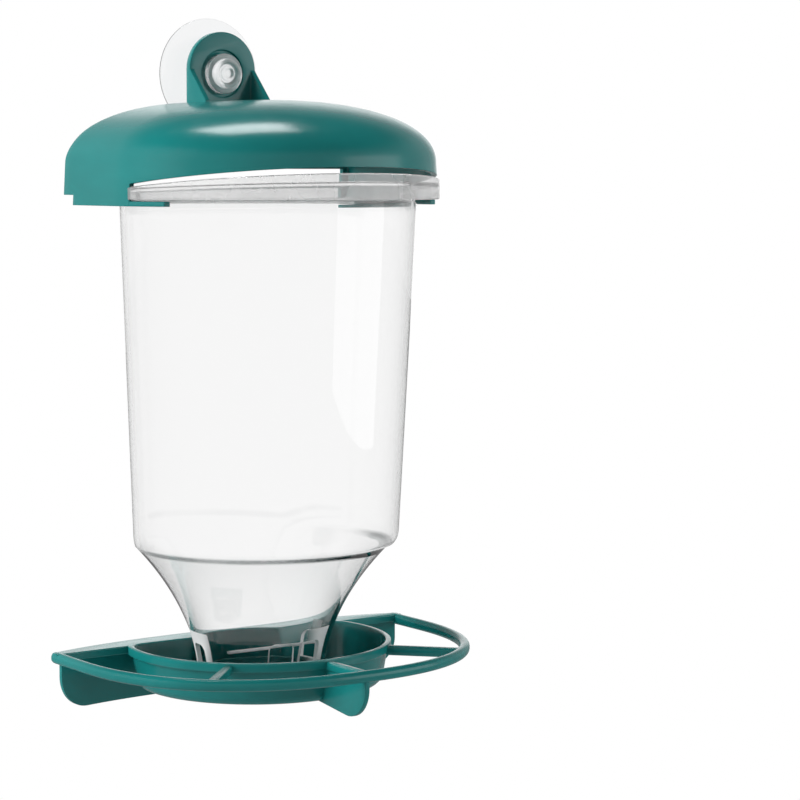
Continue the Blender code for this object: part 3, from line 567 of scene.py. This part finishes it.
def body_reach(height, inset):
    """The outline of the body, shoulder, funnel or neck at a height, moved in from its outside."""
    if height >= BODY_FOOT:
        share = (COLLAR_FOOT - height) / (COLLAR_FOOT - BODY_FOOT)
        shape = [between(a, b, share) for a, b in zip(BODY_TOP_D, BODY_FOOT_D)]
    elif height >= CREASE:
        share = 1 - math.cos(math.asin(min(1.0, (BODY_FOOT - height) / (BODY_FOOT - CREASE))))
        shape = [between(a, b, share) for a, b in zip(BODY_FOOT_D, CREASE_D)]
    else:
        share = 1 - (CREASE - height) / (CREASE - NECK_FOOT)
        shape = [between(NECK_RADIUS, CREASE_RADIUS, max(0.0, share) ** 2), *CREASE_D[1:]]
    radius, centre, rear, back, corner = shape
    return about_neck(d_outline(radius - inset, centre, rear, back + inset, corner - inset))


def collar_reach(inset):
    """The collar's outline: full width in front of the skirts, and narrower between them."""
    back, corner = COLLAR_BACK + inset, COLLAR_CORNER - inset
    wide = about_neck(d_outline(COLLAR_RADIUS - inset, LID_CENTRE, LID_CENTRE, back, corner))
    narrow = about_neck(d_outline(COLLAR_SIDE - inset, LID_CENTRE, COLLAR_REAR, back, corner))
    in_front = NECK_CENTRE + wide * np.cos(bearings) > SKIRT_END + EDGE + inset
    return np.where(in_front, wide, narrow)


def shelf_top(depth):
    """Height of the collar's inner shelf, which rises a little to the front."""
    return SHELF_MIDDLE + SHELF_SLOPE * (depth - LID_CENTRE)


def collar_top(depth):
    """Height of the collar's top edge, which runs close under the lid's lip."""
    return np.maximum(TOP_MIDDLE + TOP_SLOPE * (depth - LID_CENTRE), shelf_top(depth) + EDGE)


def shifted(level, drop):
    """The same level, lowered."""
    return lambda depth: level(depth) - drop


heights = list(np.linspace(NECK_FOOT, CREASE, 31)[:-1]) + list(np.linspace(CREASE, BODY_FOOT, 7))
heights += list(np.linspace(BODY_FOOT, BODY_HEAD, 24)[1:])
under_shelf = shifted(shelf_top, SHELF_WALL)
# The section runs up the outside, round the collar and down the inside.
rows = [ring_row(body_reach(NECK_FOOT, EDGE), NECK_FOOT)]
rows += [ring_row(body_reach(height, 0.0), height) for height in [NECK_FOOT + EDGE] + heights[1:]]
rows += [ring_row(body_reach(COLLAR_FOOT, -out), shifted(under_shelf, down)) for out, down in UNDER_FILLET]
for inset, level in (
    (HOPPER_WALL, under_shelf),
    (HOPPER_WALL, COLLAR_FOOT + EDGE),
    (HOPPER_WALL - EDGE, COLLAR_FOOT),
    (EDGE, COLLAR_FOOT),
    (0.0, COLLAR_FOOT + EDGE),
    (0.0, shifted(collar_top, EDGE)),
    (EDGE, collar_top),
    (HOPPER_WALL - EDGE, collar_top),
    (HOPPER_WALL, shifted(collar_top, EDGE)),
    (HOPPER_WALL, shelf_top),
):
    rows.append(ring_row(collar_reach(inset), level))
for out, down in OVER_FILLET:
    rows.append(ring_row(body_reach(COLLAR_FOOT, HOPPER_WALL - out), shifted(shelf_top, down)))
rows += [ring_row(body_reach(height, HOPPER_WALL), height) for height in heights[:0:-1]]
rows.append(ring_row(body_reach(NECK_FOOT, HOPPER_WALL), NECK_FOOT + EDGE))
rows.append(ring_row(body_reach(NECK_FOOT, HOPPER_WALL - EDGE), NECK_FOOT))
hopper = skin("hopper_clear_body", rows, "joined")

# The neck's four ports stand in pairs that face the front and the sides. Bearings are in degrees from the
# front, and a port cuts the wall between two distances from the neck's axis.
SILL = NECK_FOOT + 0.0038
PORT_CORNER = 0.0025
PORT_CUT = (0.018, 0.028)
FRONT_BEARING, FRONT_WIDTH, FRONT_TALL = 14.0, 0.0088, 0.0118
SIDE_BEARING, SIDE_WIDTH, SIDE_TALL = 97.0, 0.0078, 0.0097

# Painted shade: the clear plastic's colour darkens where it is seen edge on, most on the funnel, and along
# the front of the crease, for light that the slanted and bent walls turn away.
rigid_clear, shade, shader = new_finish("clear_rigid_plastic", {"Transmission Weight": 1.0, "IOR": 1.49})
height = shade.place().part(2)
from_axis = shade.node("VectorMath", {"operation": "ADD"}, {0: shade.place(), 1: (0.0, NECK_CENTRE, 0.0)})
across, ahead = from_axis.part(0), 0.0 - from_axis.part(1)
facing = shade.node("LayerWeight", {}, {"Blend": 0.5}, "Facing")
on_collar = height.ramp(COLLAR_FOOT - 0.0003, COLLAR_FOOT + 0.0001)
above_funnel = height.ramp(CREASE, BODY_FOOT)
on_body = above_funnel - on_collar
on_funnel = 1.0 - above_funnel
painted_edge_shade = facing.ramp(0.45, 1.0) * on_body * 0.18 + facing.ramp(0.25, 0.8) * on_funnel * 0.38
on_crease = 1.0 - (height - CREASE).maths("ABSOLUTE").ramp(0.0005, 0.0012)
painted_crease_shade = 0.45 + 0.85 * shade.noise(25.0).ramp(0.3, 0.7)
dark = (painted_edge_shade + on_crease * ahead.ramp(-0.012, 0.012) * painted_crease_shade).maths("MINIMUM", 1.0)
# The collar's level faces are frosted, and the wall is drawn out in faint upright waves.
upright = shade.node("NewGeometry", {}, {}, "True Normal").part(2)
frosted = on_collar * (upright * upright).ramp(0.5, 0.9)
drawn = shade.noise(30.0, 2.0, shade.place((1.0, 1.0, 0.12)))
# The base colour carries the painted shade of the edges and the crease.
feed(rigid_clear, shader, {
    "Base Color": dark.tint((0.975, 0.975, 0.975), (0.22, 0.24, 0.24)),
    "Roughness": 0.03 * shade.noise(300.0) + 0.12 * frosted,
    "Normal": drawn.relief(0.00008),
})
# It is a little milky on the collar. A milky white frame round each port, strongest where it is seen edge on,
# is a painted highlight for the lit thickness of the port's wall.
haze = on_collar * (0.13 + 0.26 * shade.noise(70.0, 3.0))
turned = across.maths("ABSOLUTE").maths("ARCTAN2", ahead)
painted_port_highlight = 0.0
for middle, top in ((FRONT_BEARING, SILL + FRONT_TALL), (SIDE_BEARING, SILL + SIDE_TALL)):
    beside = 1.0 - (turned - math.radians(middle)).maths("ABSOLUTE").ramp(0.31, 0.34)
    painted_port_highlight = beside * (1.0 - height.ramp(top + 0.0042, top + 0.0046)) + painted_port_highlight
cloud(rigid_clear, shader, haze + painted_port_highlight * facing.ramp(0.25, 0.55) * 0.95)

# The cut faces of the ports are a rough, mostly opaque white: a painted highlight for the light caught in the
# wall's thickness.
cut_highlight, shade, shader = new_finish("painted_highlight_at_cuts", {
    "Base Color": (0.96, 0.96, 0.96, 1.0), "Transmission Weight": 0.15, "IOR": 1.49})
feed(cut_highlight, shader, {"Roughness": 0.35 + 0.2 * shade.noise(900.0)})


def clear_and_cut(piece, index):
    """Give a piece the clear plastic and the painted highlight of its cuts, and all its faces one of the two.
    """
    piece.data.materials.append(rigid_clear)
    piece.data.materials.append(cut_highlight)
    for face in piece.data.polygons:
        face.material_index = index


clear_and_cut(hopper, 0)
for bearing, width, tall in ((FRONT_BEARING, FRONT_WIDTH, FRONT_TALL), (SIDE_BEARING, SIDE_WIDTH, SIDE_TALL)):
    half, top = width / 2, SILL + tall
    outline = [(-half, SILL), (half, SILL)]
    outline += arc_points((half - PORT_CORNER, top - PORT_CORNER), PORT_CORNER, 0, 90, 8)
    outline += arc_points((PORT_CORNER - half, top - PORT_CORNER), PORT_CORNER, 90, 180, 8)
    for side in (-1, 1):
        port = slab("port", outline, "front", *PORT_CUT)
        turn = Matrix.Rotation(math.radians(side * bearing), 4, "Z")
        port.data.transform(Matrix.Translation((0.0, -NECK_CENTRE, 0.0)) @ turn)
        clear_and_cut(port, 1)
        fuse(hopper, port, "DIFFERENCE")

# The thin bar that crosses the neck behind the front ports, white all over with the painted highlight of the
# cuts.
NECK_BAR = 0.0460
BAR_TOP = -0.2008
BAR_TALL = 0.0010
BAR_HALF_WALL = 0.00055
bar_reach = body_reach(BAR_TOP, HOPPER_WALL / 2).min()
bar_half = math.sqrt(bar_reach ** 2 - (NECK_BAR - NECK_CENTRE) ** 2)
outline = rectangle(-bar_half, bar_half, BAR_TOP - BAR_TALL, BAR_TOP)
neck_bar = slab("neck_bar", outline, "front", NECK_BAR - BAR_HALF_WALL, NECK_BAR + BAR_HALF_WALL)
soften(neck_bar, 0.0002)
clear_and_cut(neck_bar, 1)
fuse(hopper, neck_bar)
smooth(hopper)

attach(hopper, "hopper")
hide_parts("hopper")


# Tray. One teal moulding that the neck's foot plugs into: a D-shaped seed bowl with a pocket for the neck,
# a bowed back bar over a fin that rests by the window, a perch ring on three spokes, and a keel in front.

TRAY_TOP = -0.2008
TRAY_HALF = 0.0724
RING_FRONT = 0.1045
RING_BEND = 0.0315
RING_CORNER = 0.0145
RING_POWER = 2.35
RING_WIDTH = 0.0036
RING_HEIGHT = 0.0040
RING_ROUND = 0.0017
RING_NUB = 0.0020


def ring_edge(inset):
    """One long edge of the perch ring in plan, from its right end round the front to its left end."""
    width, reach = TRAY_HALF - inset, RING_FRONT - RING_BEND - inset
    points = [(width, depth) for depth in np.linspace(RING_CORNER, RING_BEND, 8)[:-1]]
    for turn in np.linspace(0.0, math.pi, 150):
        across = math.copysign(abs(math.cos(turn)) ** (2 / RING_POWER), math.cos(turn))
        points.append((width * across, RING_BEND + reach * abs(math.sin(turn)) ** (2 / RING_POWER)))
    return points + [(-width, depth) for depth in np.linspace(RING_BEND, RING_CORNER, 8)[1:]]


# The ring's section has rounded corners, and a nub that narrows in four steps closes each end.
section = []
for inset, drop, start in (
    (RING_ROUND, -RING_ROUND, 90),
    (RING_ROUND, RING_ROUND - RING_HEIGHT, 180),
    (RING_WIDTH - RING_ROUND, RING_ROUND - RING_HEIGHT, 270),
    (RING_WIDTH - RING_ROUND, -RING_ROUND, 0),
):
    section += arc_points((inset, drop), RING_ROUND, start, start + 90, 5)
rows = []
for inset, drop in section:
    line = [(x, -depth, TRAY_TOP + drop) for x, depth in ring_edge(inset)]
    nub = []
    for turn in np.radians([80.0, 60.0, 40.0, 20.0]):
        shrunk = RING_WIDTH / 2 + (inset - RING_WIDTH / 2) * math.cos(turn)
        lower = -RING_HEIGHT / 2 + (drop + RING_HEIGHT / 2) * math.cos(turn)
        nub.append((TRAY_HALF - shrunk, -(RING_CORNER - RING_NUB * math.sin(turn)), TRAY_TOP + lower))
    rows.append(np.array(nub + line + [(-x, y, z) for x, y, z in reversed(nub)]))
length = len(rows[0])
faces = []
for k in range(len(rows)):
    below = (k + 1) % len(rows)
    for i in range(length - 1):
        faces.append((k * length + i, k * length + i + 1, below * length + i + 1, below * length + i))
faces.append([k * length for k in range(len(rows))])
faces.append([k * length + length - 1 for k in range(len(rows))])
tray = outward(solid("tray_moulding", np.concatenate(rows), faces))

# The back bar, and the fin that hangs from it with its lower corners rounded.
BAR_FRONT = 0.0180
BAR_BACK = 0.0064
BAR_UNDERSIDE = TRAY_TOP - 0.0029
FIN_HALF = 0.0700
FIN_TOP = TRAY_TOP - 0.0012
FIN_FOOT = -0.2211
FIN_CORNER = 0.0115
FIN_BACK = 0.0015
FIN_FRONT = 0.0033


def bar_edge(half, inset):
    """Points along the bar's bowed back edge, from left to right."""
    points = []
    for x in np.linspace(-half, half, 61):
        points.append((x, between(BAR_BACK, RING_CORNER, min(1.0, abs(x) / TRAY_HALF) ** 3) + inset))
    return points


half = TRAY_HALF - SINK
outline = bar_edge(half, 0.0) + [(half, BAR_FRONT), (-half, BAR_FRONT)]
bar = slab("back_bar", outline, "plan", BAR_UNDERSIDE, TRAY_TOP - SINK)
fuse(tray, soften(bar, 0.0004))

outline = bar_edge(FIN_HALF, FIN_BACK) + bar_edge(FIN_HALF, FIN_FRONT)[::-1]
fin = slab("fin", outline, "plan", FIN_FOOT - 2 * OVERRUN, FIN_TOP)
half = FIN_HALF - SINK
corner = half - FIN_CORNER
outline = [(-half, TRAY_TOP)]
outline += arc_points((-corner, FIN_FOOT + FIN_CORNER), FIN_CORNER, 180.0, 270.0, 20)
outline += arc_points((corner, FIN_FOOT + FIN_CORNER), FIN_CORNER, 270.0, 360.0, 20)
outline += [(half, TRAY_TOP)]
fuse(fin, slab("fin_shape", outline, "front", 0.0, 0.03), "INTERSECT")
fuse(tray, soften(fin, 0.0004))

KEEL_BACK = 0.0640
KEEL_END = RING_FRONT - 0.0012
KEEL_TOP = TRAY_TOP - 0.0018
KEEL_FOOT = TRAY_TOP - 0.0172
KEEL_ROOT = -0.2148
KEEL_ROUND = 0.0110
KEEL_HALF_WALL = 0.0009
outline = [(KEEL_BACK, KEEL_TOP), (KEEL_BACK, KEEL_ROOT)]
outline += arc_points((KEEL_END - KEEL_ROUND, KEEL_FOOT + KEEL_ROUND), KEEL_ROUND, -97.0, 0.0, 24)
outline += [(KEEL_END, KEEL_TOP)]
fuse(tray, soften(slab("keel", outline, "side", -KEEL_HALF_WALL, KEEL_HALF_WALL), 0.0003))

# The spokes from the bowl to the middle of the ring, one straight ahead and one to each side.
BOWL_CENTRE = 0.0331
BOWL_RADIUS = 0.0473
SPOKE_BEARING = 43.8
SPOKE_HALF = 0.00165
SPOKE_TOP = TRAY_TOP - 0.0003
SPOKE_FOOT = TRAY_TOP - 0.0038
for bearing in (-SPOKE_BEARING, 0.0, SPOKE_BEARING):
    direction = np.array([math.sin(math.radians(bearing)), math.cos(math.radians(bearing))])
    across = np.array([direction[1], -direction[0]])
    ring_middle = np.array(ring_edge(RING_WIDTH / 2)) - (0.0, BOWL_CENTRE)
    off = np.abs(ring_middle @ across) + 1e3 * (ring_middle @ direction < 0)
    start, end = BOWL_RADIUS - 0.001, float(ring_middle[off.argmin()] @ direction)
    outline = []
    for far, side in ((start, -1), (end, -1), (end, 1), (start, 1)):
        outline.append(tuple((0.0, BOWL_CENTRE) + direction * far + across * side * SPOKE_HALF))
    spoke = slab("spoke", outline, "plan", SPOKE_FOOT, SPOKE_TOP)
    fuse(tray, soften(spoke, 0.0011))

BOWL_DEPTH = 0.0150
BOWL_WALL = 0.0020
BOWL_DRAFT = 0.0025
BOWL_ROUND = 0.003
BOWL_CORNER = 0.006
BOWL_FOOT = TRAY_TOP - BOWL_DEPTH
FLOOR = BOWL_FOOT + BOWL_WALL
POCKET = 0.0248
LIP = 0.0030
LIP_PROUD = 0.0008
LIP_CROWN = 0.0002


def bowl_reach(height, inset):
    """The bowl's outline at a height, with drafted walls, a rounded foot and the neck's pocket."""
    down = TRAY_TOP - height
    narrow = BOWL_DRAFT * down / BOWL_DEPTH
    foot = down - (BOWL_DEPTH - BOWL_ROUND)
    if foot > 0:
        narrow += BOWL_ROUND - math.sqrt(max(0.0, BOWL_ROUND ** 2 - foot ** 2))
    total = inset + narrow
    back = BAR_FRONT - BOWL_WALL + total
    bowl = about_neck(d_outline(BOWL_RADIUS - total, BOWL_CENTRE, BOWL_CENTRE, back, BOWL_CORNER))
    return np.maximum(bowl, POCKET + BOWL_WALL - inset)


# The bowl is a filled body with a lip round its top, then hollowed, and a low socket rises from its floor.
levels = [TRAY_TOP - drop for drop in (LIP + 0.0001, 0.006, 0.009, 0.012)]
levels += [BOWL_FOOT + BOWL_ROUND * (1 - math.sin(turn)) for turn in np.linspace(0.2, math.pi / 2, 7)]
outside = [ring_row(bowl_reach(height, LIP_PROUD), height) for height in reversed(levels)]
outside.append(ring_row(bowl_reach(TRAY_TOP, 0.0003), TRAY_TOP - LIP))
for inset, level in ((0.0, 0.0004 - LIP), (0.0, -0.0006), (0.0001, 0.0), (0.0005, LIP_CROWN)):
    outside.append(ring_row(bowl_reach(TRAY_TOP, inset), TRAY_TOP + level))
fuse(tray, skin("bowl_outside", outside, "capped"))
inner_levels = [FLOOR] + [height for height in reversed(levels) if height > FLOOR + 0.0004]
inside = [ring_row(bowl_reach(height, BOWL_WALL), height) for height in inner_levels + [TRAY_TOP - 0.0006]]
for inset, level in ((0.0001, 0.0), (0.0005, LIP_CROWN), (0.0005, 2 * OVERRUN)):
    inside.append(ring_row(bowl_reach(TRAY_TOP, BOWL_WALL - inset), TRAY_TOP + level))
fuse(tray, skin("bowl_inside", inside, "capped"), "DIFFERENCE")

SOCKET_RADIUS = 0.0244
SOCKET_BORE = 0.0229
SOCKET_RISE = 0.003
outline = arc_points((0.0, NECK_CENTRE), SOCKET_RADIUS, 0.0, 360.0, 120)[:-1]
socket = slab("socket", outline, "plan", FLOOR - 0.001, FLOOR + SOCKET_RISE)
outline = arc_points((0.0, NECK_CENTRE), SOCKET_BORE, 0.0, 360.0, 120)[:-1]
bore = slab("socket_bore", outline, "plan", FLOOR - 2 * OVERRUN, FLOOR + SOCKET_RISE + OVERRUN)
fuse(socket, bore, "DIFFERENCE")
fuse(tray, soften(socket, 0.0003))
smooth(tray)
tray.data.materials.append(teal_finish("teal_satin", 0.18, (1.0, 1.0, 1.0)))
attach(tray, "tray")
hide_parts("tray")


# Studio: a plain pale floor well below the hanging feeder, soft panels, and the camera. The floor and the
# sky are white to the camera and through clear plastic, and dimmer as light and in reflections.

FLOOR_HALF = 4.0
FLOOR_LEVEL = -0.42
corners = [(x, y, FLOOR_LEVEL) for x, y in rectangle(-FLOOR_HALF, FLOOR_HALF, -FLOOR_HALF, FLOOR_HALF)]
floor = solid("floor", corners, [(0, 1, 2, 3)])
paper, shade, shader = new_finish("white_paper", {"Base Color": (0.6, 0.6, 0.6, 1.0), "Roughness": 0.9})


def looks(shade):
    """Whether a ray comes from the camera, through clear plastic or off a glossy surface, as 1 or 0 each."""
    through = shade.node("LightPath", {}, {}, "Is Transmission Ray")
    mirrored = shade.node("LightPath", {}, {}, "Is Glossy Ray") * (1.0 - through)
    return shade.node("LightPath", {}, {}, "Is Camera Ray"), through, mirrored


to_camera, through, mirrored = looks(shade)
glow = paper.node_tree.nodes.new("ShaderNodeEmission")
paper.node_tree.links.new((1.0 - 0.7 * mirrored).socket, glow.inputs["Color"])
mix_shaders(paper, shader, glow, (to_camera + through + mirrored).maths("MINIMUM", 1.0))
floor.data.materials.append(paper)

# As light the sky is dim. Reflections show a paler band round the horizon and a bright patch behind.
AMBIENT = 0.24
BAND_GLOW = 0.40
PATCH_GLOW = 0.95
MIRRORED_DROP = 0.18
world = bpy.data.worlds.new("studio")
bpy.context.scene.world = world
world.use_nodes = True
shade = Shade(world.node_tree)
to_camera, through, mirrored = looks(shade)
heading = shade.node("TexCoord", {}, {}, "Generated")
BEHIND = (0.56, 0.82, 0.1)
towards = shade.node("VectorMath", {"operation": "DOT_PRODUCT"}, {0: heading, 1: BEHIND}, 1)
patch = towards.ramp(0.93, 1.0)
level = heading.part(2)
band = 1.0 - (level * level).ramp(0.09, 0.5)
strength = AMBIENT + (1.0 - AMBIENT) * (to_camera + through)
strength = strength + mirrored * (BAND_GLOW * band + PATCH_GLOW * patch - MIRRORED_DROP)
background = world.node_tree.nodes["Background"]
background.inputs["Strength"].default_value = 1.0
world.node_tree.links.new(strength.socket, background.inputs["Color"])


def panel(name, place, aim, size, power, mirrored=True):
    """A soft light panel that faces a point. Glossy surfaces mirror it, or only take its light."""
    data = bpy.data.lights.new(name, "AREA")
    data.shape = "RECTANGLE"
    data.size, data.size_y = size
    data.energy = power
    lamp = bpy.data.objects.new(name, data)
    lamp.location = place
    lamp.visible_glossy = mirrored
    lamp.visible_transmission = False
    lamp.rotation_euler = (Vector(aim) - Vector(place)).to_track_quat("-Z", "Y").to_euler()
    bpy.context.scene.collection.objects.link(lamp)


MIDDLE = (0.0, -0.04, -0.1)
panel("key", (-1.10, 0.30, 0.30), MIDDLE, (0.9, 1.0), 23.0, mirrored=False)
panel("front", (1.05, -0.95, 0.20), MIDDLE, (1.0, 0.8), 8.0, mirrored=False)
panel("fill", (1.0, -1.05, -0.05), MIDDLE, (1.2, 0.9), 4.0)
panel("top", (0.05, 0.25, 1.0), (-0.02, -0.06, 0.0), (0.5, 0.40), 5.6)

CAMERA_TILT = 5.14
CAMERA_TURN = 34.42
view = bpy.data.cameras.new("camera")
view.lens = 115.27
view.sensor_width = 36.0
camera = bpy.data.objects.new("camera", view)
camera.location = (-0.46821, -0.80566, -0.03406)
camera.rotation_euler = (math.radians(90 - CAMERA_TILT), 0.0, math.radians(-CAMERA_TURN))
bpy.context.scene.collection.objects.link(camera)
bpy.context.scene.camera = camera
bpy.context.scene.view_settings.view_transform = "Standard"
